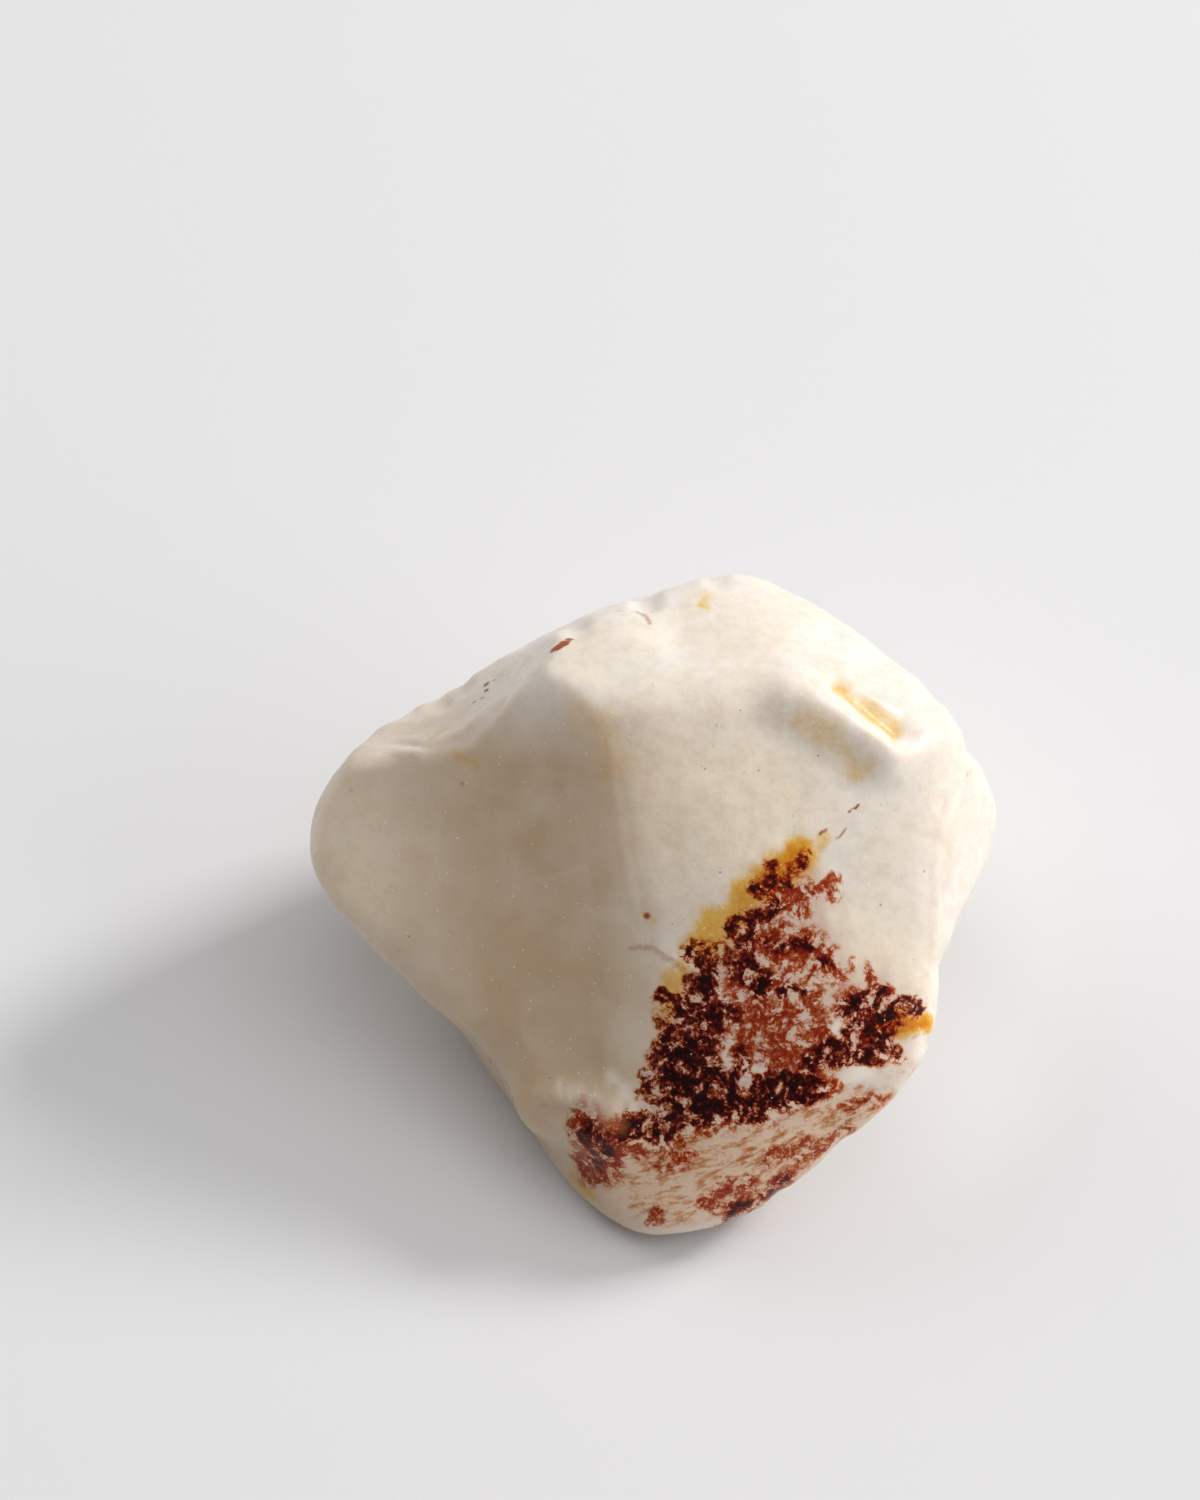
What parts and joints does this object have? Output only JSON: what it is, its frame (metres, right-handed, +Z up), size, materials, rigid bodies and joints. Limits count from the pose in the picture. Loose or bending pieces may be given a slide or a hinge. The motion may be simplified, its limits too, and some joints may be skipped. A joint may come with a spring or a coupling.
{
  "type": "rough opal specimen",
  "caption": "Single rough stone of milky white opal with broad waxy faces, a prow and dark red-brown inclusions, lying on a small flat rest face.",
  "frame": {"origin": "middle of the stone's box in X and Y, on the plane of the rest face", "axes": "+Z up, +X to the right of the prow, +Y to the back, as the stone lies seen from the front"},
  "size_m": [0.0461, 0.0411, 0.0281],
  "materials": {
    "milky_opal": "waxy gloss"
  },
  "bodies": {
    "root": {"opal_stone": "milky_opal"}
  },
  "joints": []
}
